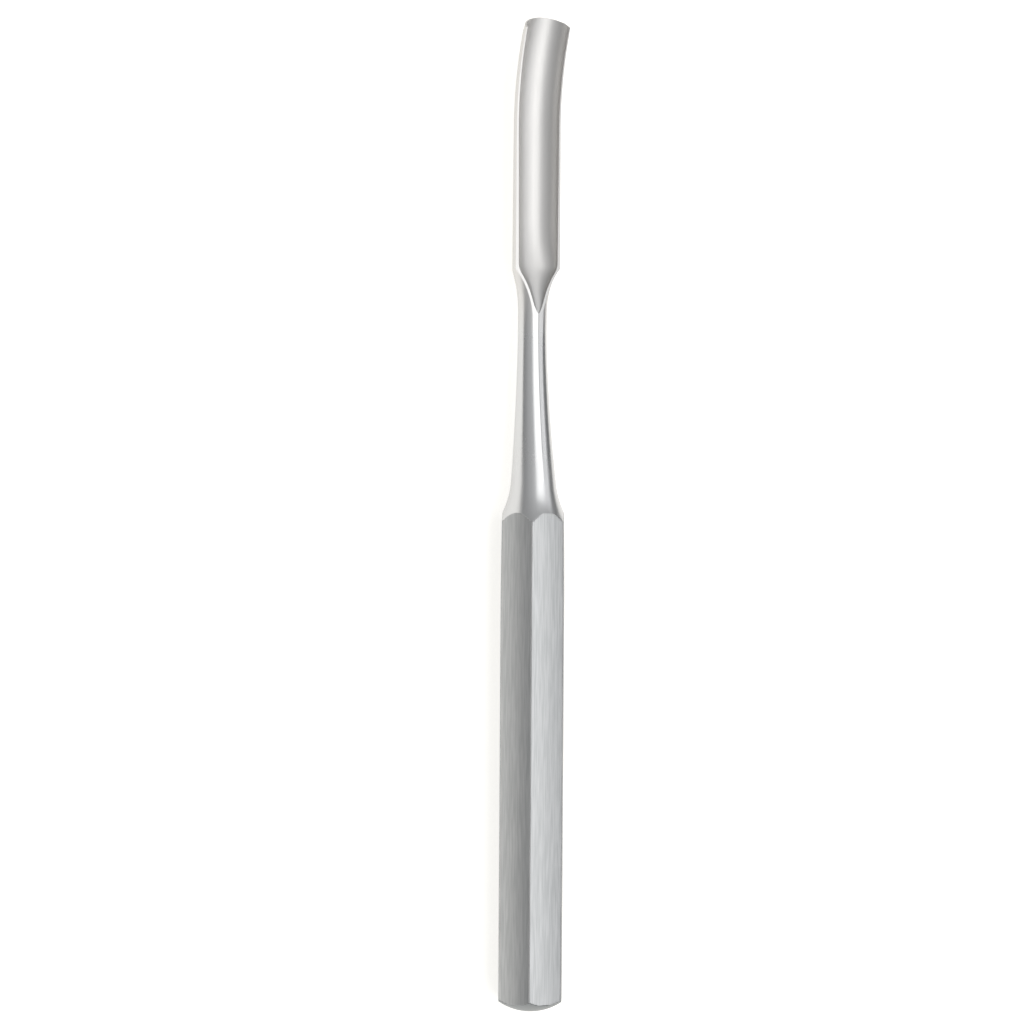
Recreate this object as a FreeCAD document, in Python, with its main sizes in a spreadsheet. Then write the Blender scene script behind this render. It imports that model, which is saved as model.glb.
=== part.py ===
import FreeCAD, Part
import math
import os
import Sketcher

os.makedirs("parts", exist_ok=True)
doc = FreeCAD.newDocument("BoneGouge")
Vector = FreeCAD.Vector

# Driving dimensions in millimetres and degrees. Lengths add up along the gouge from the
# end of the butt. Heights are measured from the handle's axis, upwards on the hollow side.
DIMENSIONS = [
    # hexagonal handle with a domed butt
    ("handle_length", 129.3),
    ("flats_width", 15.3),
    ("dome_radius", 13.8),
    ("relief_length", 36.0),
    ("relief_depth", 0.35),
    # turned root, where the handle runs into the neck
    ("root_end_radius", 5.45),
    ("root_arc_radius", 22.0),
    ("root_end_slope", 5.0),
    # round neck with a fine ridge along its front
    ("neck_length", 40.7),
    ("taper_length", 37.0),
    ("waist_half_width", 3.6),
    ("waist_front", 1.95),
    ("waist_back", 4.2),
    ("ridge_start_half_width", 0.5),
    ("ridge_end_half_width", 1.45),
    ("ridge_slope", 8.0),
    # shoulders, where the neck flares into the blade
    ("shoulder_length", 10.8),
    ("shoulder_rim", 0.75),
    ("shoulder_floor", 1.7),
    # channelled blade, bent towards its hollow side
    ("straight_length", 33.5),
    ("bend_length", 27.0),
    ("bend_radius", 68.0),
    ("blade_half_width", 6.1),
    ("edge_half_width", 6.0),
    ("rim_height", 1.65),
    ("blade_back", 4.35),
    ("edge_back", 3.5),
    # hollow of the blade, which runs out in a point between the shoulders
    ("run_out_rim", 0.55),
    ("deepening_length", 23.3),
    # sharpened edge
    ("bevel_length", 2.6),
    ("edge_rim", 0.25),
    ("edge_floor", 0.8),
    ("edge_thickness", 0.18),
    ("edge_crown_radius", 30.0),
    ("edge_corner_radius", 1.0),
]
sheet = doc.addObject("Spreadsheet::Sheet", "Sizes")
for row, (alias, value) in enumerate(DIMENSIONS, start=1):
    sheet.set("A%d" % row, alias)
    sheet.set("B%d" % row, str(value))
    sheet.setAlias("B%d" % row, alias)
overall_row = len(DIMENSIONS) + 1
sheet.set("A%d" % overall_row, "overall_length")
sheet.set("B%d" % overall_row, "=handle_length + neck_length + shoulder_length + straight_length + bend_length")
sheet.setAlias("B%d" % overall_row, "overall_length")
doc.recompute()


def size(alias):
    return float(sheet.get(alias))


def blend(start, end, share):
    return start + (end - start) * share


# Handle: a hexagonal bar along Y, with a flat on top and a flat below.
handle = doc.addObject("PartDesign::Body", "handle")


def plane_of(role):
    return next(plane for plane in handle.Origin.OriginFeatures if plane.Role == role)


def handle_sketch(name, role):
    sketch = handle.newObject("Sketcher::SketchObject", name)
    sketch.AttachmentSupport = [(plane_of(role), "")]
    sketch.MapMode = "FlatFace"
    return sketch


def value_of(formula):
    return float(sheet.evalExpression(formula))


def draw_outline(sketch, corners, arc_centre, arc_radius):
    """Closed outline through the corners; its first side is an arc, the others are straight."""
    points = [Vector(value_of(across), value_of(up), 0) for across, up in corners]
    centre = Vector(value_of(arc_centre[0]), value_of(arc_centre[1]), 0)
    angles = [math.atan2(point.y - centre.y, point.x - centre.x) for point in points[:2]]
    runs_forward = (angles[1] - angles[0]) % (2 * math.pi) < math.pi
    first_angle, last_angle = angles if runs_forward else reversed(angles)
    circle = Part.Circle(centre, Vector(0, 0, 1), value_of(arc_radius))
    sketch.addGeometry(Part.ArcOfCircle(circle, first_angle, last_angle))
    first_of_arc = 1 if runs_forward else 2
    count = len(points)
    starts = [(0, first_of_arc)]
    for number in range(1, count):
        sketch.addGeometry(Part.LineSegment(points[number], points[(number + 1) % count]))
        starts.append((number, 1))
    ends = [(0, 3 - first_of_arc)] + [(number, 2) for number in range(1, count)]
    for number in range(count):
        sketch.addConstraint(Sketcher.Constraint("Coincident", *ends[number], *starts[(number + 1) % count]))
    for number, (across, up) in enumerate(corners):
        for kind, formula in (("DistanceX", across), ("DistanceY", up)):
            place = sketch.addConstraint(
                Sketcher.Constraint(kind, -1, 1, *starts[number], value_of(formula)))
            sketch.setExpression("Constraints[%d]" % place, formula)
    place = sketch.addConstraint(Sketcher.Constraint("Radius", 0, value_of(arc_radius)))
    sketch.setExpression("Constraints[%d]" % place, arc_radius)


corner_radius = size("flats_width") / math.sqrt(3.0)
bar_section = handle_sketch("bar_section", "XZ_Plane")
corners = [
    Vector(corner_radius * math.cos(math.radians(60 * k)), corner_radius * math.sin(math.radians(60 * k)), 0)
    for k in range(6)
]
for k in range(6):
    bar_section.addGeometry(Part.LineSegment(corners[k], corners[(k + 1) % 6]))
corner_ring = bar_section.addGeometry(Part.Circle(Vector(0, 0, 0), Vector(0, 0, 1), corner_radius), True)
bar_section.addConstraint(Sketcher.Constraint("Coincident", corner_ring, 3, -1, 1))
for k in range(6):
    bar_section.addConstraint(Sketcher.Constraint("Coincident", k, 2, (k + 1) % 6, 1))
    bar_section.addConstraint(Sketcher.Constraint("PointOnObject", k, 1, corner_ring))
for k in range(1, 6):
    bar_section.addConstraint(Sketcher.Constraint("Equal", 0, k))
bar_section.addConstraint(Sketcher.Constraint("Horizontal", 1))
ring_size = bar_section.addConstraint(Sketcher.Constraint("Radius", corner_ring, corner_radius))
bar_section.setExpression("Constraints[%d]" % ring_size, "Sizes.flats_width / sqrt(3)")

bar = handle.newObject("PartDesign::Pad", "bar")
bar.Profile = bar_section
bar.setExpression("Length", "Sizes.handle_length")
bar.Reversed = True
doc.recompute()

# Facet relief: each flat falls away in a long shallow arc towards the neck.
relief_start = "(Sizes.handle_length - Sizes.relief_length)"
relief_arc = "(Sizes.relief_length ^ 2 + Sizes.relief_depth ^ 2) / (2 * Sizes.relief_depth)"
relief_sketch = handle_sketch("relief_outline", "YZ_Plane")
draw_outline(
    relief_sketch,
    [
        (relief_start, "Sizes.flats_width / 2"),
        ("Sizes.handle_length", "Sizes.flats_width / 2 - Sizes.relief_depth"),
        ("Sizes.handle_length", "Sizes.flats_width"),
        (relief_start, "Sizes.flats_width"),
    ],
    (relief_start, "Sizes.flats_width / 2 - " + relief_arc),
    relief_arc,
)
relief = handle.newObject("PartDesign::Pocket", "relief")
relief.Profile = relief_sketch
relief.Midplane = True
relief.setExpression("Length", "Sizes.flats_width * 2")
doc.recompute()
six_reliefs = handle.newObject("PartDesign::PolarPattern", "six_reliefs")
six_reliefs.Originals = [relief]
six_reliefs.Axis = (plane_of("Y_Axis"), [""])
six_reliefs.Angle = 360
six_reliefs.Occurrences = 6
handle.Tip = six_reliefs
doc.recompute()

# Root: a concave turned sweep. Where it meets the flats, each flat ends in an arch.
sweep_centre_along = "(Sizes.handle_length + Sizes.root_arc_radius * sin(Sizes.root_end_slope * 1 deg))"
sweep_centre_out = "(Sizes.root_end_radius + Sizes.root_arc_radius * cos(Sizes.root_end_slope * 1 deg))"
clear_of_corners = "Sizes.flats_width * 0.6"
sweep_start = "(%s - sqrt(Sizes.root_arc_radius ^ 2 - (%s - %s) ^ 2))" % (
    sweep_centre_along, sweep_centre_out, clear_of_corners)
root_sketch = handle_sketch("root_outline", "YZ_Plane")
draw_outline(
    root_sketch,
    [
        (sweep_start, clear_of_corners),
        ("Sizes.handle_length", "Sizes.root_end_radius"),
        ("Sizes.handle_length + 1", "Sizes.root_end_radius"),
        ("Sizes.handle_length + 1", clear_of_corners),
    ],
    (sweep_centre_along, sweep_centre_out),
    "Sizes.root_arc_radius",
)
root = handle.newObject("PartDesign::Groove", "root")
root.Profile = root_sketch
root.ReferenceAxis = (plane_of("Y_Axis"), [""])
root.Angle = 360
doc.recompute()

# Butt: turned to a dome, which rounds off the end of every flat.
dome_reach = "(Sizes.dome_radius - sqrt(Sizes.dome_radius ^ 2 - (%s) ^ 2))" % clear_of_corners
dome_sketch = handle_sketch("dome_outline", "YZ_Plane")
draw_outline(
    dome_sketch,
    [
        ("0", "0"),
        (dome_reach, clear_of_corners),
        ("-1", clear_of_corners),
        ("-1", "0"),
    ],
    ("Sizes.dome_radius", "0"),
    "Sizes.dome_radius",
)
dome = handle.newObject("PartDesign::Groove", "dome")
dome.Profile = dome_sketch
dome.ReferenceAxis = (plane_of("Y_Axis"), [""])
dome.Angle = 360
doc.recompute()

# Places along the gouge. The path of the blade is straight, then an arc to the hollow side.
root_end = size("handle_length")
hollow_start = root_end + size("neck_length")
shoulder = hollow_start + size("shoulder_length")
bend_start = shoulder + size("straight_length")
ground_back = size("edge_back") - size("edge_floor") + size("edge_thickness")
end_turn = math.asin(size("bend_length") / (size("bend_radius") + ground_back))
path_length = bend_start + size("bend_radius") * end_turn
bevel_start = path_length - size("bevel_length")
past_edge = path_length + size("bevel_length")


def path_place(distance):
    """Placement of a cross-section: its X stays across, its Y points to the hollow side."""
    upright = FreeCAD.Rotation(Vector(1, 0, 0), 90)
    if distance <= bend_start:
        return FreeCAD.Placement(Vector(0, distance, 0), upright)
    turn = min((distance - bend_start) / size("bend_radius"), end_turn)
    past_end = max(distance - path_length, 0.0)
    along = bend_start + size("bend_radius") * math.sin(turn) + past_end * math.cos(turn)
    up = size("bend_radius") * (1 - math.cos(turn)) + past_end * math.sin(turn)
    tilt = FreeCAD.Rotation(Vector(1, 0, 0), math.degrees(turn))
    return FreeCAD.Placement(Vector(0, along, up), tilt * upright)


def ellipse_through(half_width, half_depth, centre_height):
    centre = Vector(0, centre_height, 0)
    side = Vector(half_width, centre_height, 0)
    top = Vector(0, centre_height + half_depth, 0)
    if half_width >= half_depth:
        return Part.Ellipse(side, top, centre)
    return Part.Ellipse(top, Vector(-half_width, centre_height, 0), centre)


def cross_section(name, distance, wire):
    section = doc.addObject("Part::Feature", name)
    section.Shape = wire
    section.Placement = path_place(distance)
    return section


def blank_section(name, distance, half_width, front, back, land):
    """Outer section: an ellipse whose front is cut to two flat lands that meet in a ridge."""
    land_share = math.sqrt(1 - (land / half_width) ** 2)
    half_depth = (front + back) / (1 + land_share)
    ellipse = ellipse_through(half_width, half_depth, half_depth - back)
    left = Vector(-land, front, 0)
    right = Vector(land, front, 0)
    ridge = Vector(0, front + land * math.tan(math.radians(size("ridge_slope"))), 0)
    start = ellipse.parameter(left)
    end = ellipse.parameter(right)
    if end < start:
        end += 2 * math.pi
    round_side = Part.ArcOfEllipse(ellipse, start, end).toShape()
    lands = [Part.LineSegment(right, ridge).toShape(), Part.LineSegment(ridge, left).toShape()]
    return cross_section(name, distance, Part.Wire([round_side] + lands))


def stations(start, end, shares):
    return [blend(start, end, share) for share in shares]


def even(count):
    return [number / count for number in range(1, count + 1)]


def loft(name, make_section, distances):
    piece = doc.addObject("Part::Loft", name)
    piece.Sections = [
        make_section("%s_section_%d" % (name, number), distance)
        for number, distance in enumerate(distances, start=1)
    ]
    piece.Solid = True
    return piece


# Neck: forged round, thinned to the waist, with two filed lands and a fine ridge in front.
# At the shoulders it flares to the width of the blade. A power of 1 is a straight taper.
LAND_SETBACK = 0.03
TAPER_POWER = 1.6
RIDGE_POWER = 2.0
FLARE_POWER = 2.3
FLARE_LAND_POWER = 0.8


def shoulder_share(distance):
    return min(max((distance - hollow_start) / (shoulder - hollow_start), 0.0), 1.0)


def shoulder_land(distance, half_width):
    """Half the width across the lands, from the end of the ridge to the corners of the shoulders."""
    step = size("waist_half_width") - size("ridge_end_half_width")
    step *= (1 - shoulder_share(distance)) ** FLARE_LAND_POWER
    return half_width - max(step, LAND_SETBACK)


def shoulder_half_width(distance):
    flare = shoulder_share(distance) ** FLARE_POWER
    return blend(size("waist_half_width"), size("blade_half_width"), flare)


def shoulder_front(distance):
    return blend(size("waist_front"), size("rim_height"), shoulder_share(distance))


def neck_section(name, distance):
    thinning = 1 - (1 - min((distance - root_end) / size("taper_length"), 1.0)) ** TAPER_POWER
    root_radius = size("root_end_radius")
    half_width = blend(root_radius, size("waist_half_width"), thinning)
    root_front = math.sqrt(root_radius ** 2 - size("ridge_start_half_width") ** 2)
    front = blend(root_front, size("waist_front"), thinning)
    back = blend(root_radius, size("waist_back"), thinning)
    widening = ((distance - root_end) / size("neck_length")) ** RIDGE_POWER
    land = blend(size("ridge_start_half_width"), size("ridge_end_half_width"), widening)
    if distance >= hollow_start:
        half_width = shoulder_half_width(distance)
        land = shoulder_land(distance, half_width)
        front = shoulder_front(distance)
        back = blend(back, size("blade_back"), shoulder_share(distance))
    return blank_section(name, distance, half_width, front, back, land)


neck_stations = [root_end] + stations(root_end, hollow_start, even(6))
neck_stations += stations(hollow_start, shoulder, (0.2, 0.4, 0.6, 0.78, 0.91, 1.0))
neck = loft("neck", neck_section, neck_stations)


# Blade: a half-round bar, straight and then bent, ground down to the edge at the back.
def blade_values(distance):
    share = (distance - shoulder) / (path_length - shoulder)
    half_width = blend(size("blade_half_width"), size("edge_half_width"), share)
    back = blend(size("blade_back"), size("edge_back"), share)
    rim = blend(size("shoulder_rim"), size("edge_rim"), share)
    floor = blend(size("shoulder_floor"), size("edge_floor"), share)
    return half_width, back, rim, floor


def blade_section(name, distance):
    half_width, back, rim, floor = blade_values(distance)
    return blank_section(
        name, distance, half_width, size("rim_height"), back, half_width - LAND_SETBACK)


def edge_section(name, distance):
    half_width, back, rim, floor = blade_values(distance)
    half_width += size("edge_thickness") - rim
    return blank_section(
        name, distance, half_width, size("rim_height"), ground_back, half_width - LAND_SETBACK)


blade_stations = [shoulder] + stations(shoulder, bend_start, even(3))
blade_stations += stations(bend_start, bevel_start, even(5))
blade = loft("blade", blade_section, blade_stations)
bevel = doc.addObject("Part::Loft", "bevel")
bevel.Sections = [blade_section("bevel_section_1", bevel_start), edge_section("bevel_section_2", path_length)]
bevel.Solid = True
bevel.Ruled = True

# Hollow: below the rims its sections are half ellipses, and above them the tool is open.
# It shrinks to a point where the channel runs out into the neck.
POINT_POWER = 12.0
POINT_LENGTH = 0.02


def hollow_section(name, distance):
    half_width, back, rim, floor = blade_values(max(distance, shoulder))
    share = shoulder_share(distance)
    if distance < shoulder:
        rim = blend(size("run_out_rim"), rim, share)
        half_width = shoulder_half_width(distance)
        width = (shoulder_land(distance, half_width) - rim) * (1 - (1 - share) ** POINT_POWER)
    else:
        width = half_width - LAND_SETBACK - rim
    deepening = min((distance - hollow_start) / size("deepening_length"), 1.0)
    depth = (size("rim_height") + back - floor) * math.sin(math.pi / 2 * deepening)
    level = shoulder_front(distance)
    ellipse = ellipse_through(width, depth, level)
    left = Vector(-width, level, 0)
    right = Vector(width, level, 0)
    left_top = Vector(-width, level + size("blade_back"), 0)
    right_top = Vector(width, level + size("blade_back"), 0)
    start = ellipse.parameter(left)
    end = ellipse.parameter(right)
    if end < start:
        end += 2 * math.pi
    lower_half = Part.ArcOfEllipse(ellipse, start, end).toShape()
    sides = [(right, right_top), (right_top, left_top), (left_top, left)]
    upper = [Part.LineSegment(*ends).toShape() for ends in sides]
    return cross_section(name, distance, Part.Wire([lower_half] + upper))


hollow_stations = [hollow_start + POINT_LENGTH]
hollow_stations += stations(hollow_start, shoulder, (0.04, 0.1, 0.2, 0.35, 0.52, 0.7, 0.85, 1.0))
hollow_stations += stations(shoulder, bend_start, (0.06, 0.15, 0.27, 0.42, 0.6, 0.8, 1.0))
hollow_stations += stations(bend_start, past_edge, even(6))
hollow = loft("hollow", hollow_section, hollow_stations)

# Edge: seen from above it is slightly crowned, and its two corners are rounded off.
side = max(blade_values(bevel_start)[0], blade_values(path_length)[0]) + LAND_SETBACK
crown = size("edge_crown_radius")
corner = size("edge_corner_radius")
corner_back = crown - math.sqrt((crown - corner) ** 2 - (side - corner) ** 2)
corner_turn = math.asin((side - corner) / (crown - corner))
waste_margin = size("blade_half_width")
waste_bottom = -2 * size("blade_back")


def edge_point(across, back):
    return Vector(across, waste_bottom, back)


def corner_arc(sign):
    centre_x = sign * (side - corner)
    half_way = (math.pi / 2 - corner_turn) / 2
    middle = edge_point(
        centre_x + sign * corner * math.cos(half_way), corner_back - corner * math.sin(half_way))
    end = edge_point(sign * crown * math.sin(corner_turn), crown * (1 - math.cos(corner_turn)))
    return Part.Arc(edge_point(sign * side, corner_back), middle, end).toShape(), end


left_corner, left_end = corner_arc(-1)
right_corner, right_end = corner_arc(1)
outside = [
    edge_point(side, corner_back),
    edge_point(side + waste_margin, corner_back),
    edge_point(side + waste_margin, -waste_margin),
    edge_point(-side - waste_margin, -waste_margin),
    edge_point(-side - waste_margin, corner_back),
    edge_point(-side, corner_back),
]
outline = [left_corner, Part.Arc(left_end, edge_point(0, 0), right_end).toShape(), right_corner]
outline += [Part.LineSegment(outside[k], outside[k + 1]).toShape() for k in range(5)]
waste_outline = cross_section("waste_outline", path_length, Part.Wire(Part.__sortEdges__(outline)))
edge_waste = doc.addObject("Part::Extrusion", "edge_waste")
edge_waste.Base = waste_outline
edge_waste.Dir = waste_outline.Placement.Rotation.multVec(Vector(0, 1, 0))
edge_waste.LengthFwd = 4 * size("blade_back")
edge_waste.Solid = True
doc.recompute()

# One solid: the gouge is forged in one piece.
blank = doc.addObject("Part::MultiFuse", "blank")
blank.Shapes = [handle, neck, blade, bevel]
channelled = doc.addObject("Part::Cut", "channelled")
channelled.Base = blank
channelled.Tool = hollow
gouge = doc.addObject("Part::Cut", "gouge")
gouge.Base = channelled
gouge.Tool = edge_waste
gouge.Label = "bone_gouge"
gouge.setExpression("Placement.Base.y", "-Sizes.overall_length / 2")
gouge.setExpression("Placement.Base.z", "Sizes.flats_width / 2")
doc.recompute()

for item in doc.Objects:
    if "Invalid" in item.State or "Error" in item.State:
        raise RuntimeError("%s failed: %s" % (item.Label, item.State))
if gouge.Shape.isNull() or not gouge.Shape.isValid() or len(gouge.Shape.Solids) != 1:
    raise RuntimeError("the gouge is not one valid solid")
gouge.Shape.exportStep("parts/bone_gouge.step")
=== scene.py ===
import math

import bmesh
import bpy
from mathutils import Matrix, Vector


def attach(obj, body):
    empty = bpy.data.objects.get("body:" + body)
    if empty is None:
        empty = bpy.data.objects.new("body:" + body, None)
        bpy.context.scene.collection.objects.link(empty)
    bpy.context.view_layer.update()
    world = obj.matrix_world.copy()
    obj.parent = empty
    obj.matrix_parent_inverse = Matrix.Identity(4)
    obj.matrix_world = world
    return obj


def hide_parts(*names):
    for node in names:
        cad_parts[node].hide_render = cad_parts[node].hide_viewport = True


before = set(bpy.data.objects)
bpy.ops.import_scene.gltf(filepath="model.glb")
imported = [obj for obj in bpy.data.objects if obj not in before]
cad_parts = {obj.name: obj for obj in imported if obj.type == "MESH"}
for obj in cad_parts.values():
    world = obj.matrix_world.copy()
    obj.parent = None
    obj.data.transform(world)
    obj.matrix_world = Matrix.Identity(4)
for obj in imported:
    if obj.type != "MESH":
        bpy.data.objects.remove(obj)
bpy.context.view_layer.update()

scene = bpy.context.scene
scene.view_settings.view_transform = "Standard"

# The handle: the hexagonal end of the one forging of stainless steel that the gouge is. The butt
# is turned to a dome, the root is turned to a sweep, and the six flats are ground on a belt, a
# little deeper towards the root. Sizes are in millimetres, and places run from the butt.
MM = 0.001
HANDLE_LENGTH = 129.3
FLAT_DISTANCE = 7.65
HALF_FLAT = math.radians(30)
EDGE_ROUNDING = 0.5
DOME_RADIUS = 13.8
RELIEF_LENGTH = 36.0
RELIEF_DEPTH = 0.35
ROOT_END_RADIUS = 5.45
ROOT_ARC_RADIUS = 22.0
ROOT_END_SLOPE = math.radians(5)
rounding_turn = math.atan2(
    EDGE_ROUNDING * math.sin(HALF_FLAT),
    (FLAT_DISTANCE - EDGE_ROUNDING) / math.cos(HALF_FLAT) + EDGE_ROUNDING * math.cos(HALF_FLAT))


def between(start, end, share):
    return start + (end - start) * share


def portion(value, start, end):
    """How far a value is from start to end, kept between 0 and 1."""
    return min(max((value - start) / (end - start), 0.0), 1.0)


def spread(start, end, steps):
    """Evenly spaced values that end at the end and leave the start out."""
    return [between(start, end, step / steps) for step in range(1, steps + 1)]


def turned_radius(place):
    """The dome at the butt, the sweep at the root, and beyond the edges between them."""
    sweep_place = HANDLE_LENGTH + ROOT_ARC_RADIUS * math.sin(ROOT_END_SLOPE)
    sweep_out = ROOT_END_RADIUS + ROOT_ARC_RADIUS * math.cos(ROOT_END_SLOPE)
    if place < DOME_RADIUS:
        return math.sqrt(2 * DOME_RADIUS * place - place ** 2)
    return sweep_out - math.sqrt(max(ROOT_ARC_RADIUS ** 2 - (sweep_place - place) ** 2, 0.0))


def hexagon_radius(place, turn):
    """The flats, with their relief, and the rounded edges where they meet."""
    relief = portion(place, HANDLE_LENGTH - RELIEF_LENGTH, HANDLE_LENGTH) ** 2 * RELIEF_DEPTH
    from_middle = abs(turn - 2 * HALF_FLAT * round(turn / (2 * HALF_FLAT)))
    flat = (FLAT_DISTANCE - relief) / math.cos(from_middle)
    from_edge = HALF_FLAT - from_middle
    if from_edge >= rounding_turn:
        return flat
    centre = (FLAT_DISTANCE - relief - EDGE_ROUNDING) / math.cos(HALF_FLAT)
    arc_depth = math.sqrt(EDGE_ROUNDING ** 2 - (centre * math.sin(from_edge)) ** 2)
    return min(flat, centre * math.cos(from_edge) + arc_depth)


def handle_section(place):
    """One section of the handle, with its points at the turns of the neck's first section."""
    points = []
    for x, height in neck_section(HANDLE_LENGTH):
        turn = math.atan2(x, height)
        radius = min(hexagon_radius(place, turn), turned_radius(place))
        points.append((radius * math.sin(turn), radius * math.cos(turn)))
    return points


# The neck: forged with the handle, turned at the root, and ground and buffed to an oval waist. A
# low line runs along its front, where the two grinds meet, and widens to the lands of the blade.
# Every section goes round the back, then over the left land, the front or hollow, and the right.
NECK_LENGTH = 40.7
TAPER_LENGTH = 37.0
TAPER_POWER = 1.6
WAIST_HALF_WIDTH = 3.6
WAIST_FRONT = 1.95
WAIST_BACK = 4.2
RIDGE_START = 0.5
RIDGE_END = 1.45
RIDGE_SLOPE = math.radians(8)
POINT_HALF_WIDTH = 0.02
NECK_GATHER = 0.8
NECK_GATHER_POWER = 6
HOLLOW_START = HANDLE_LENGTH + NECK_LENGTH
ROUND_STEPS = 14
ROUNDING_STEPS = 6
BESIDE_ROUNDING = 1.3
RIM_STEPS = 3
HOLLOW_STEPS = 32

# Turns of the points round the back: closer together at the six edges of the handle, and one
# just beside each rounding, so that the flats stay flat up to it.
land_turn = math.asin(RIDGE_START / ROOT_END_RADIUS)
beside_rounding = BESIDE_ROUNDING * rounding_turn
turns = [land_turn] + spread(land_turn, HALF_FLAT - beside_rounding, ROUND_STEPS // 2)
for corner in range(6):
    edge_turn = HALF_FLAT * (2 * corner + 1)
    turns += [edge_turn - rounding_turn]
    turns += spread(edge_turn - rounding_turn, edge_turn + rounding_turn, ROUNDING_STEPS)
    if corner < 5:
        next_edge_turn = edge_turn + 2 * HALF_FLAT
        turns += spread(edge_turn + beside_rounding, next_edge_turn - beside_rounding, ROUND_STEPS)
turns += spread(edge_turn + beside_rounding, 2 * math.pi - land_turn, ROUND_STEPS // 2)


def section(half_width, front, back, land, hollow_width, hollow_depth):
    """Points round one section. With no hollow, the lands run on to the middle of the front."""
    def land_height(x):
        return front + (land - abs(x)) * math.tan(RIDGE_SLOPE)

    half_depth = (front + back) / (1 + math.sqrt(1 - (land / half_width) ** 2))
    first = math.asin(land / half_width)
    points = []
    for turn in turns:
        angle = between(first, 2 * math.pi - first, portion(turn, land_turn, 2 * math.pi - land_turn))
        points.append((half_width * math.sin(angle), half_depth - back + half_depth * math.cos(angle)))
    for x in spread(-land, -hollow_width, RIM_STEPS):
        points.append((x, land_height(x)))
    for angle in spread(0.0, math.pi, HOLLOW_STEPS)[:-1]:
        x = -hollow_width * math.cos(angle)
        height = land_height(x)
        if hollow_depth > 0:
            height = min(height, front - hollow_depth * math.sin(angle))
        points.append((x, height))
    for x in [hollow_width] + spread(hollow_width, land, RIM_STEPS):
        points.append((x, land_height(x)))
    return points


def neck_section(place):
    thinning = 1 - (1 - portion(place, HANDLE_LENGTH, HANDLE_LENGTH + TAPER_LENGTH)) ** TAPER_POWER
    half_width = between(ROOT_END_RADIUS, WAIST_HALF_WIDTH, thinning)
    root_front = math.sqrt(ROOT_END_RADIUS ** 2 - RIDGE_START ** 2)
    front = between(root_front, WAIST_FRONT, thinning)
    back = between(ROOT_END_RADIUS, WAIST_BACK, thinning)
    along_neck = portion(place, HANDLE_LENGTH, HOLLOW_START)
    land = between(RIDGE_START, RIDGE_END, along_neck ** 2)
    gathered = NECK_GATHER * land * (1 - along_neck ** NECK_GATHER_POWER)
    return section(half_width, front, back, land, POINT_HALF_WIDTH + gathered, 0.0)


# The blade: forged wider than the waist, with a shoulder, and bent towards its hollow near the
# edge. The channel is milled and ground, and runs out in a point on the neck. The edge is
# crowned, with rounded corners, and ground from the outside.
SHOULDER_LENGTH = 10.8
STRAIGHT_LENGTH = 33.5
BEND_LENGTH = 27.0
BEND_RADIUS = 68.0
DEEPENING_LENGTH = 23.3
BLADE_HALF_WIDTH = 6.1
RIM_HEIGHT = 1.65
BLADE_BACK = 4.35
EDGE_HALF_WIDTH = 6.0
EDGE_BACK = 3.5
LAND_SETBACK = 0.03
RUN_OUT_RIM = 0.55
SHOULDER_RIM = 0.75
EDGE_RIM = 0.25
SHOULDER_FLOOR = 1.7
EDGE_FLOOR = 0.8
BEVEL_LENGTH = 2.6
EDGE_THICKNESS = 0.18
CROWN_RADIUS = 30.0
CORNER_RADIUS = 1.0
CROWN_BLEND = 2.0
FLARE_POWER = 2.3
FLARE_LAND_POWER = 0.8
POINT_POWER = 12
EASING_REACH = 1.2
EASING_STEPS = 4
SHOULDER = HOLLOW_START + SHOULDER_LENGTH
BEND_START = SHOULDER + STRAIGHT_LENGTH
GROUND_BACK = EDGE_BACK - EDGE_FLOOR + EDGE_THICKNESS
PATH_END = BEND_START + BEND_RADIUS * math.asin(BEND_LENGTH / (BEND_RADIUS + GROUND_BACK))
BEVEL_START = PATH_END - BEVEL_LENGTH


def blade_outline(place):
    """Half width, setback of the lands and width of a rim, which flare out over the shoulder."""
    flare = portion(place, HOLLOW_START, SHOULDER)
    if flare < 1:
        half_width = between(WAIST_HALF_WIDTH, BLADE_HALF_WIDTH, flare ** FLARE_POWER)
        waist_setback = WAIST_HALF_WIDTH - RIDGE_END
        setback = max(waist_setback * (1 - flare) ** FLARE_LAND_POWER, LAND_SETBACK)
        return half_width, setback, between(RUN_OUT_RIM, SHOULDER_RIM, flare)
    along_blade = portion(place, SHOULDER, PATH_END)
    half_width = between(BLADE_HALF_WIDTH, EDGE_HALF_WIDTH, along_blade)
    return half_width, LAND_SETBACK, between(SHOULDER_RIM, EDGE_RIM, along_blade)


def hollow_half_width(place):
    """The channel inside its rims, drawn in to a point where it runs out."""
    half_width, setback, rim = blade_outline(place)
    pointed = (1 - portion(place, HOLLOW_START, SHOULDER)) ** POINT_POWER
    return between(half_width - setback - rim, POINT_HALF_WIDTH, pointed)


def eased_hollow_width(place):
    """Mean of the channel's half width nearby, so that the shoulder leaves no line across it."""
    reach = min(EASING_REACH, place - HOLLOW_START, PATH_END - place)
    steps = range(-EASING_STEPS, EASING_STEPS + 1)
    return sum(hollow_half_width(place + reach * step / EASING_STEPS) for step in steps) / len(steps)


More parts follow.
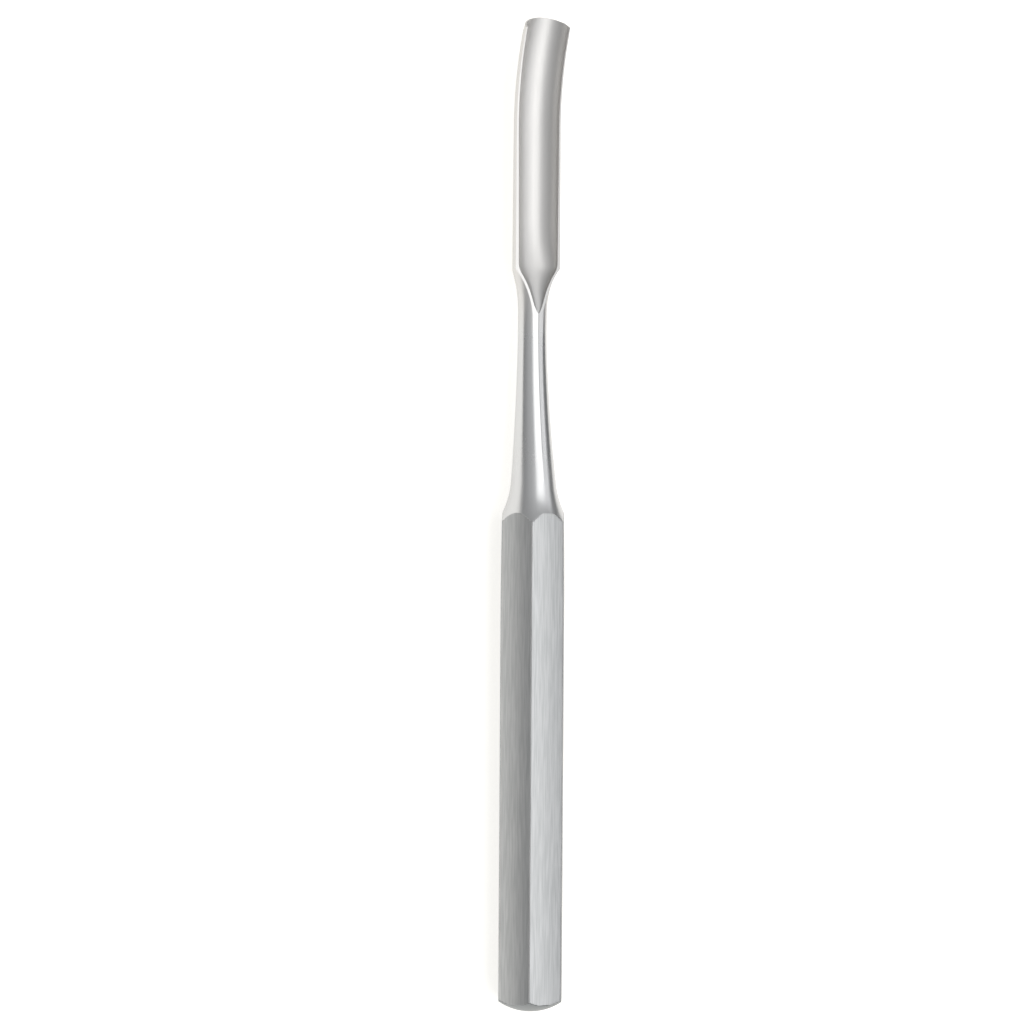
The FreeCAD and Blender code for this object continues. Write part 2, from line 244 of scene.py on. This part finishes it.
def blade_section(place):
    half_width, setback, rim = blade_outline(place)
    flare = portion(place, HOLLOW_START, SHOULDER)
    along_blade = portion(place, SHOULDER, PATH_END)
    front = between(WAIST_FRONT, RIM_HEIGHT, flare)
    back = between(WAIST_BACK, BLADE_BACK, flare)
    full_back = between(BLADE_BACK, EDGE_BACK, along_blade)
    if flare == 1:
        back = full_back
    floor = between(SHOULDER_FLOOR, EDGE_FLOOR, along_blade)
    deepening = portion(place, HOLLOW_START, HOLLOW_START + DEEPENING_LENGTH)
    depth = (RIM_HEIGHT + full_back - floor) * math.sin(math.pi / 2 * deepening)
    ground = portion(place, BEVEL_START, PATH_END)
    half_width -= ground * (rim - EDGE_THICKNESS)
    back -= ground * (floor - EDGE_THICKNESS)
    return section(half_width, front, back, half_width - setback, eased_hollow_width(place), depth)


def edge_setback(x):
    """How far the crowned edge and its rounded corners lie behind the middle of the edge."""
    crowned = CROWN_RADIUS - math.sqrt(CROWN_RADIUS ** 2 - x ** 2)
    corner_place = EDGE_HALF_WIDTH - CORNER_RADIUS
    into_corner = min(abs(x) - corner_place, CORNER_RADIUS)
    if into_corner <= 0:
        return crowned
    corner_centre = CROWN_RADIUS - math.sqrt((CROWN_RADIUS - CORNER_RADIUS) ** 2 - corner_place ** 2)
    return max(crowned, corner_centre - math.sqrt(CORNER_RADIUS ** 2 - into_corner ** 2))


# The whole gouge: its sections set on one path, which is straight and then bends to the hollow
# side, with the middle of its length at the origin and a flat down. This skin stands for the
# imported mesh, whose coarser facets would show in the reflections of the polished steel.
BUTT_PLACE = -(BEND_START + BEND_LENGTH) / 2
FIRST_PLACE = 0.0001
BUTT_RADIUS = 9.0
BUTT_STEPS = 24
BUTT_END = 4.0
HANDLE_STEPS = 30
ROOT_START = 118.0
ROOT_STEPS = 110
NECK_STEPS = 80
SHOULDER_STEPS = 70
STRAIGHT_STEPS = 40
BEND_STEPS = 40
BEVEL_STEPS = 16
SAME_POINT = 1e-7
SHARP_ANGLE = math.radians(22)


def set_in_place(place, x, height):
    if place > SHOULDER:
        place -= edge_setback(x) * portion(place, BEVEL_START - CROWN_BLEND, PATH_END)
    turn = max(place - BEND_START, 0.0) / BEND_RADIUS
    along = min(place, BEND_START) + (BEND_RADIUS - height) * math.sin(turn)
    up = BEND_RADIUS - (BEND_RADIUS - height) * math.cos(turn)
    return Vector((x, along + BUTT_PLACE, up + FLAT_DISTANCE)) * MM


butt_places = [FIRST_PLACE]
for radius in spread(0.0, BUTT_RADIUS, BUTT_STEPS):
    butt_places.append(DOME_RADIUS - math.sqrt(DOME_RADIUS ** 2 - radius ** 2))
handle_places = butt_places + spread(BUTT_END, ROOT_START, HANDLE_STEPS)
handle_places += spread(ROOT_START, HANDLE_LENGTH, ROOT_STEPS)
neck_places = spread(HANDLE_LENGTH, HOLLOW_START, NECK_STEPS)
blade_places = spread(HOLLOW_START, SHOULDER, SHOULDER_STEPS)
blade_places += spread(SHOULDER, BEND_START, STRAIGHT_STEPS)
blade_places += spread(BEND_START, BEVEL_START, BEND_STEPS)
blade_places += spread(BEVEL_START, PATH_END, BEVEL_STEPS)
rings = [(place, handle_section(place)) for place in handle_places]
rings += [(place, neck_section(place)) for place in neck_places]
rings += [(place, blade_section(place)) for place in blade_places]

# A sheet is rolled round the sections, joined along its seam and closed at both ends.
points_round = len(rings[0][1])
body = bmesh.new()
bmesh.ops.create_grid(body, x_segments=points_round, y_segments=len(rings) - 1, size=1.0)
for number, vertex in enumerate(body.verts):
    row, column = divmod(number, points_round + 1)
    place, points = rings[row]
    x, height = points[column % points_round]
    vertex.co = set_in_place(place, x, height)
bmesh.ops.remove_doubles(body, verts=body.verts, dist=SAME_POINT)
bmesh.ops.holes_fill(body, edges=body.edges, sides=0)
bmesh.ops.recalc_face_normals(body, faces=body.faces)
for face in body.faces:
    face.smooth = True
for edge in body.edges:
    edge.smooth = edge.is_manifold and edge.calc_face_angle() < SHARP_ANGLE
body_mesh = bpy.data.meshes.new("gouge_body")
body.to_mesh(body_mesh)
body.free()
gouge = bpy.data.objects.new("gouge_body", body_mesh)
scene.collection.objects.link(gouge)
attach(gouge, "root")
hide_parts("bone_gouge")

# The finish: bare stainless steel. The flats are brushed lengthwise on a belt, the root and the
# neck are buffed bright, the blade is left satin, and the butt is dull from the mallet, its dome
# painted darker as shade.
STEEL_COLOUR = (0.61, 0.612, 0.615)
BLADE_COLOUR = (0.67, 0.66, 0.647)
BRUSHED_COLOUR = (0.44, 0.446, 0.449)
# Colour of the painted shade on the dome at the butt.
BUTT_SHADE_COLOUR = (0.25, 0.262, 0.266)
# Colour of the painted shade in the line along the front of the neck.
CREASE_SHADE_COLOUR = (0.36, 0.36, 0.36)
ROOT_ROUGHNESS = 0.30
NECK_ROUGHNESS = 0.25
BLADE_ROUGHNESS = 0.44
FLAT_ROUGHNESS = 0.42
BUFFED_FROM_ROOT = 12.0
SATIN_BEFORE_POINT = 10.0
FLAT_TOLERANCE = 0.02
FLAT_MARGIN = 0.05
ROOT_MARGIN = 0.5
DOME_END = 3.0
DOME_MARGIN = 0.5
CREASE_SHADE_CORE = 0.05
CREASE_SHADE_EDGE = 0.17
CREASE_SHADE_LOW = 1.0
CREASE_SHADE_HIGH = 1.6
CREASE_SHADE_START = 2.0
CREASE_SHADE_FULL = 9.0
CREASE_SHADE_END = 0.5
UNEVENNESS = 0.10
NOISE_LOW = 0.3
NOISE_HIGH = 0.7
BRUSHING_LOW = 0.75
BRUSHING_HIGH = 1.25
FLAT_CROWN = 1.0
LINE_HEIGHT = 0.003
FLAT_LINE_HEIGHT = 0.009
ROOT_PLACE = BUTT_PLACE + HANDLE_LENGTH
POINT_PLACE = BUTT_PLACE + HOLLOW_START
SHOULDER_PLACE = BUTT_PLACE + SHOULDER

steel = bpy.data.materials.new("steel")
steel.use_nodes = True
nodes = steel.node_tree.nodes
links = steel.node_tree.links
shader = nodes["Principled BSDF"]
shader.inputs["Metallic"].default_value = 1.0


def feed(node, place, value):
    """Give an input a value, or link it to another node's output."""
    if isinstance(value, bpy.types.NodeSocket):
        links.new(value, node.inputs[place])
    else:
        node.inputs[place].default_value = value


def math_step(operation, *values):
    node = nodes.new("ShaderNodeMath")
    node.operation = operation
    for place, value in enumerate(values):
        feed(node, place, value)
    return node.outputs[0]


def fade(value, start, end, low=0.0, high=1.0):
    """Value that eases from low to high while the input goes from start to end."""
    node = nodes.new("ShaderNodeMapRange")
    node.interpolation_type = "SMOOTHSTEP"
    for place, item in enumerate((value, start, end, low, high)):
        feed(node, place, item)
    return node.outputs[0]


def streaks(lines_per_mm, stretch, detail):
    """Noise with so many lines to a millimetre across, drawn out along the gouge."""
    mapping = nodes.new("ShaderNodeMapping")
    across_scale = lines_per_mm / MM
    mapping.inputs["Scale"].default_value = (across_scale, across_scale / stretch, across_scale)
    links.new(texture_place.outputs["Object"], mapping.inputs["Vector"])
    noise = nodes.new("ShaderNodeTexNoise")
    noise.inputs["Scale"].default_value = 1.0
    noise.inputs["Detail"].default_value = detail
    links.new(mapping.outputs[0], noise.inputs["Vector"])
    return noise.outputs["Fac"]


def tint(colour, mask, other):
    """Colour that goes over to another as the mask rises, and past it above 1."""
    mix = nodes.new("ShaderNodeMix")
    mix.data_type = "RGBA"
    mix.clamp_factor = False
    feed(mix, "Factor", mask)
    feed(mix, "A", colour)
    feed(mix, "B", other + (1,))
    return mix.outputs["Result"]


# Places on the gouge in millimetres, with heights from the axis of the handle.
texture_place = nodes.new("ShaderNodeTexCoord")
split = nodes.new("ShaderNodeSeparateXYZ")
links.new(texture_place.outputs["Object"], split.inputs[0])
across = math_step("DIVIDE", split.outputs["X"], MM)
along = math_step("DIVIDE", split.outputs["Y"], MM)
height = math_step("SUBTRACT", math_step("DIVIDE", split.outputs["Z"], MM), FLAT_DISTANCE)

# The flats are where the surface is as far out as the hexagon, less its relief. What is nearer
# to the axis at the butt is its dome.
radius = math_step("SQRT", math_step(
    "ADD", math_step("MULTIPLY", across, across), math_step("MULTIPLY", height, height)))
from_middle = math_step("WRAP", math_step("ARCTAN2", across, height), HALF_FLAT, -HALF_FLAT)
out_to_flat = math_step("MULTIPLY", radius, math_step("COSINE", from_middle))
relief_share = math_step("DIVIDE", math_step("SUBTRACT", along, ROOT_PLACE - RELIEF_LENGTH), RELIEF_LENGTH)
relief_share = math_step("MINIMUM", math_step("MAXIMUM", relief_share, 0.0), 1.0)
relief = math_step("MULTIPLY", math_step("MULTIPLY", relief_share, relief_share), RELIEF_DEPTH)
below_flat = math_step("SUBTRACT", math_step("SUBTRACT", FLAT_DISTANCE, relief), out_to_flat)
is_flat = fade(below_flat, FLAT_TOLERANCE, FLAT_TOLERANCE + FLAT_MARGIN, 1.0, 0.0)
on_handle = fade(along, ROOT_PLACE - ROOT_MARGIN, ROOT_PLACE, 1.0, 0.0)
is_flat = math_step("MULTIPLY", is_flat, on_handle)
near_butt = fade(along, BUTT_PLACE + DOME_END, BUTT_PLACE + DOME_END + DOME_MARGIN, 1.0, 0.0)
is_butt = math_step("MAXIMUM", math_step("SUBTRACT", near_butt, is_flat), 0.0)
on_blade = fade(along, POINT_PLACE - SATIN_BEFORE_POINT, SHOULDER_PLACE)

roughness = fade(along, ROOT_PLACE, ROOT_PLACE + BUFFED_FROM_ROOT, ROOT_ROUGHNESS, NECK_ROUGHNESS)
satin = math_step("MULTIPLY", on_blade, BLADE_ROUGHNESS - NECK_ROUGHNESS)
dulled = math_step("MULTIPLY", math_step("ADD", is_flat, is_butt), FLAT_ROUGHNESS - ROOT_ROUGHNESS)
wear = streaks(lines_per_mm=1.6, stretch=60.0, detail=2.0)
uneven = math_step("MULTIPLY", math_step("SUBTRACT", wear, 0.5), UNEVENNESS)
for change in (satin, dulled, uneven):
    roughness = math_step("ADD", roughness, change)
links.new(roughness, shader.inputs["Roughness"])

# Painted shade: the fine line along the front of the neck is darkened in colour.
crease_shade = fade(math_step("ABSOLUTE", across), CREASE_SHADE_CORE, CREASE_SHADE_EDGE, 1.0, 0.0)
on_front = fade(height, CREASE_SHADE_LOW, CREASE_SHADE_HIGH)
past_root = fade(along, ROOT_PLACE + CREASE_SHADE_START, ROOT_PLACE + CREASE_SHADE_FULL)
before_point = fade(along, POINT_PLACE - CREASE_SHADE_END, POINT_PLACE + CREASE_SHADE_END, 1.0, 0.0)
for limit in (on_front, past_root, before_point):
    crease_shade = math_step("MULTIPLY", crease_shade, limit)
belt_lines = streaks(lines_per_mm=2.8, stretch=24.0, detail=3.0)
brushing = fade(belt_lines, NOISE_LOW, NOISE_HIGH, BRUSHING_LOW, BRUSHING_HIGH)
colour = tint(STEEL_COLOUR + (1,), on_blade, BLADE_COLOUR)
colour = tint(colour, math_step("MULTIPLY", is_flat, brushing), BRUSHED_COLOUR)
# Painted shade darkens the dome at the butt.
colour = tint(colour, is_butt, BUTT_SHADE_COLOUR)
# Painted shade darkens the line along the front of the neck.
colour = tint(colour, crease_shade, CREASE_SHADE_COLOUR)
links.new(colour, shader.inputs["Base Color"])

# The belt leaves each flat a little crowned, and the lines of the grind stand out slightly.
on_flat_across = math_step("TANGENT", from_middle)
crown = math_step("MULTIPLY", math_step("MULTIPLY", on_flat_across, on_flat_across), -FLAT_CROWN)
crown = math_step("MULTIPLY", crown, is_flat)
line_height = math_step("MULTIPLY", is_flat, FLAT_LINE_HEIGHT - LINE_HEIGHT)
line_height = math_step("ADD", LINE_HEIGHT, line_height)
fine_lines = streaks(lines_per_mm=9.0, stretch=90.0, detail=3.0)
lines = math_step("MULTIPLY", fine_lines, line_height)
bump = nodes.new("ShaderNodeBump")
bump.inputs["Strength"].default_value = 1.0
bump.inputs["Distance"].default_value = MM
links.new(math_step("ADD", crown, lines), bump.inputs["Height"])
links.new(bump.outputs[0], shader.inputs["Normal"])
body_mesh.materials.append(steel)

# The table: a plain pale sheet that carries the gouge and keeps its shadow. It glows for the
# camera and in reflections, so that it shows white without more light on the steel.
TABLE_HALF = 3.0
TABLE_COLOUR = (0.62, 0.61, 0.59, 1)
TABLE_GLOW = 0.73
GLOW_COLOUR = (1, 0.99, 0.96, 1)
table_shape = bmesh.new()
bmesh.ops.create_grid(table_shape, x_segments=1, y_segments=1, size=TABLE_HALF)
table_mesh = bpy.data.meshes.new("table")
table_shape.to_mesh(table_mesh)
table_shape.free()
table = bpy.data.objects.new("table", table_mesh)
scene.collection.objects.link(table)
paper = bpy.data.materials.new("table_paper")
paper.use_nodes = True
nodes = paper.node_tree.nodes
links = paper.node_tree.links
surface = nodes["Principled BSDF"]
surface.inputs["Base Color"].default_value = TABLE_COLOUR
surface.inputs["Roughness"].default_value = 0.9
surface.inputs["Specular IOR Level"].default_value = 0.0
surface.inputs["Emission Color"].default_value = GLOW_COLOUR
ray = nodes.new("ShaderNodeLightPath")
seen = math_step("MAXIMUM", ray.outputs["Is Camera Ray"], ray.outputs["Is Glossy Ray"])
seen = math_step("MAXIMUM", seen, ray.outputs["Is Transmission Ray"])
links.new(math_step("MULTIPLY", seen, TABLE_GLOW), surface.inputs["Emission Strength"])
table_mesh.materials.append(paper)

# The studio: a dim grey room, so that the steel has dark tones to reflect, and three soft lamps
# that face the gouge from overhead and from the right, where the flat on top mirrors them.
ROOM_COLOUR = (0.98, 0.99, 1.0, 1)
ROOM_LEVEL_LOW = 0.30
ROOM_LEVEL_HIGH = 0.62
ROOM_TOP = 0.95
room = bpy.data.worlds.new("studio")
scene.world = room
room.use_nodes = True
nodes = room.node_tree.nodes
links = room.node_tree.links
direction = nodes.new("ShaderNodeTexCoord")
split = nodes.new("ShaderNodeSeparateXYZ")
links.new(direction.outputs["Generated"], split.inputs[0])
room_level = fade(split.outputs["Z"], 0.0, ROOM_TOP, ROOM_LEVEL_LOW, ROOM_LEVEL_HIGH)
links.new(room_level, nodes["Background"].inputs["Strength"])
nodes["Background"].inputs["Color"].default_value = ROOM_COLOUR


def softbox(name, turns_from, turns_to, distance, along_from, along_to, brightness, colour):
    """Flat lamp facing the gouge, between two turns from overhead in degrees, right being more."""
    middle = math.radians((turns_from + turns_to) / 2)
    half = math.radians((turns_to - turns_from) / 2)
    lamp = bpy.data.lights.new(name, "AREA")
    lamp.shape = "RECTANGLE"
    lamp.size = 2 * distance * math.tan(half)
    lamp.size_y = along_to - along_from
    lamp.energy = brightness * math.pi * lamp.size * lamp.size_y
    lamp.color = colour
    panel = bpy.data.objects.new(name, lamp)
    scene.collection.objects.link(panel)
    panel.location = (
        distance * math.sin(middle), (along_from + along_to) / 2, distance * math.cos(middle))
    panel.rotation_euler = (0, middle, 0)


softbox("overhead_softbox", turns_from=-12, turns_to=28, distance=0.95, along_from=-1.40, along_to=0.50,
        brightness=1.25, colour=(1.0, 1.0, 0.995))
softbox("side_panel", turns_from=28, turns_to=58, distance=0.95, along_from=-1.40, along_to=0.55,
        brightness=0.41, colour=(0.975, 0.98, 1.0))
softbox("side_strip", turns_from=49.5, turns_to=52.5, distance=0.9, along_from=-0.6, along_to=0.6,
        brightness=1.3, colour=(1.0, 1.0, 1.0))

# A dark board stands to the right of the gouge, for the dark edge of the round neck. It is made
# of felt on card, and no camera sees it.
BOARD_PLACE = 0.22
BOARD_HEIGHT = 0.13
BOARD_LENGTH = 1.6
BOARD_COLOUR = (0.42, 0.43, 0.44, 1)
board_shape = bmesh.new()
bmesh.ops.create_grid(board_shape, x_segments=1, y_segments=1, size=0.5)
bmesh.ops.scale(board_shape, vec=(BOARD_HEIGHT, BOARD_LENGTH, 1.0), verts=board_shape.verts)
upright = Matrix.Rotation(math.radians(90), 3, "Y")
bmesh.ops.rotate(board_shape, matrix=upright, verts=board_shape.verts)
bmesh.ops.translate(board_shape, vec=(BOARD_PLACE, 0, BOARD_HEIGHT / 2), verts=board_shape.verts)
board_mesh = bpy.data.meshes.new("dark_board")
board_shape.to_mesh(board_mesh)
board_shape.free()
board = bpy.data.objects.new("dark_board", board_mesh)
scene.collection.objects.link(board)
board.visible_camera = False
felt = bpy.data.materials.new("board_felt")
felt.use_nodes = True
felt.node_tree.nodes["Principled BSDF"].inputs["Base Color"].default_value = BOARD_COLOUR
felt.node_tree.nodes["Principled BSDF"].inputs["Roughness"].default_value = 1.0
board_mesh.materials.append(felt)

# The camera: a long lens high above the blade, turned so that the hollow faces a little to the
# right of it. The butt is seen from slightly above its end. Lengths are in metres.
FACING_RIGHT = math.radians(28)
CAMERA_DISTANCE = 1.124
CAMERA_ALONG = 0.060
AIM_ALONG = 0.0012
AIM_LEFT = 0.00515
ROLL = math.radians(0.35)
SENSOR_WIDTH = 36.0
FRAME_WIDTH = 0.2482
to_camera = Vector((-math.sin(FACING_RIGHT), 0, math.cos(FACING_RIGHT)))
image_right = Vector((math.cos(FACING_RIGHT), 0, math.sin(FACING_RIGHT)))
axis_point = Vector((0, 0, FLAT_DISTANCE * MM)) - image_right * AIM_LEFT
aim = axis_point + Vector((0, AIM_ALONG, 0))
eye = axis_point + Vector((0, CAMERA_ALONG, 0)) + to_camera * CAMERA_DISTANCE
camera = bpy.data.objects.new("camera", bpy.data.cameras.new("camera"))
scene.collection.objects.link(camera)
backwards = (eye - aim).normalized()
right = Vector((0, 1, 0)).cross(backwards).normalized()
upwards = backwards.cross(right)
facing = Matrix((right, upwards, backwards)).transposed() @ Matrix.Rotation(ROLL, 3, "Z")
camera.matrix_world = Matrix.Translation(eye) @ facing.to_4x4()
camera.data.sensor_width = SENSOR_WIDTH
camera.data.lens = SENSOR_WIDTH * CAMERA_DISTANCE / FRAME_WIDTH
scene.camera = camera
